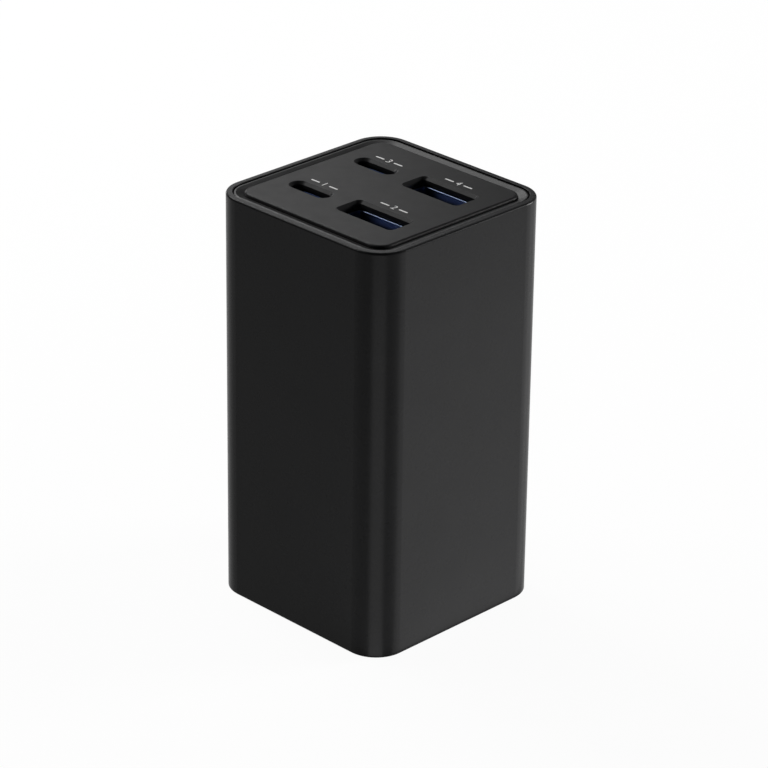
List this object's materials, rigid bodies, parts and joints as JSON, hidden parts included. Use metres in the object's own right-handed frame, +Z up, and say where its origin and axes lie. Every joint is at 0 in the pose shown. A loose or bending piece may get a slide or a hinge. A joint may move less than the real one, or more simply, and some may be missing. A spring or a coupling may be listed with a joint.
{
  "type": "multi port usb desktop charger",
  "caption": "Upright square-section desktop charger with soft corners, a raised panel of wide and oval charging ports on top and a mains inlet low on the back.",
  "frame": {"origin": "centre of the base", "axes": "+Z up, -Y the front that the ports are read from, +X to the right"},
  "size_m": [0.042, 0.042, 0.0779],
  "materials": {
    "housing_black": "fine moulded texture",
    "cover_black": "satin moulded",
    "panel_black": "satin moulded",
    "base_black": "fine moulded texture",
    "inlet_black": "satin moulded",
    "port_shell": "dark nickel plate",
    "port_blue": "satin moulded",
    "port_dark": "satin moulded",
    "contact_gold": "gold plate",
    "pin_plate": "nickel plate",
    "board_green": "solder mask",
    "screw_steel": "zinc plate",
    "spreader_aluminium": "mill finish",
    "film_black": "thin sheet",
    "ferrite_grey": "sintered",
    "winding_copper": "enamelled wire",
    "bobbin_black": "moulded",
    "can_aluminium": "drawn can",
    "box_grey": "potted box",
    "disc_blue": "dipped coat",
    "fuse_black": "shrink sleeve",
    "chip_black": "moulded package",
    "pad_grey": "soft pad",
    "lead_brown": "insulated wire",
    "lead_blue": "insulated wire"
  },
  "bodies": {
    "root": {"base_cover": "base_black", "board_screws": "screw_steel", "bridge_rectifier": "chip_black", "buck_inductor_1": "ferrite_grey", "buck_inductor_2": "ferrite_grey", "bulk_capacitor_1": "can_aluminium", "bulk_capacitor_2": "can_aluminium", "bulk_capacitor_3": "can_aluminium", "choke_coils": "winding_copper", "choke_core": "ferrite_grey", "film_capacitor": "box_grey", "fuse": "fuse_black", "heat_spreader": "spreader_aluminium", "inlet_housing": "inlet_black", "inlet_pins": "pin_plate", "insulating_film": "film_black", "live_lead": "lead_brown", "main_board": "board_green", "neutral_lead": "lead_blue", "optocoupler": "chip_black", "output_capacitor_1": "can_aluminium", "output_capacitor_2": "can_aluminium", "output_capacitor_3": "can_aluminium", "output_capacitor_4": "can_aluminium", "port_board": "board_green", "port_controller_1": "chip_black", "port_controller_2": "chip_black", "port_panel": "panel_black", "power_switch": "chip_black", "safety_capacitor": "disc_blue", "sleeve": "housing_black", "thermal_pad": "pad_grey", "top_cover": "cover_black", "transformer_bobbin": "bobbin_black", "transformer_core_front": "ferrite_grey", "transformer_core_rear": "ferrite_grey", "transformer_winding": "winding_copper", "usb_a_contacts_1": "contact_gold", "usb_a_contacts_2": "contact_gold", "usb_a_shell_1": "port_shell", "usb_a_shell_2": "port_shell", "usb_a_tongue_1": "port_blue", "usb_a_tongue_2": "port_blue", "usb_c_contacts_1": "contact_gold", "usb_c_contacts_2": "contact_gold", "usb_c_shell_1": "port_shell", "usb_c_shell_2": "port_shell", "usb_c_tongue_1": "port_dark", "usb_c_tongue_2": "port_dark", "varistor": "disc_blue"}
  },
  "joints": []
}
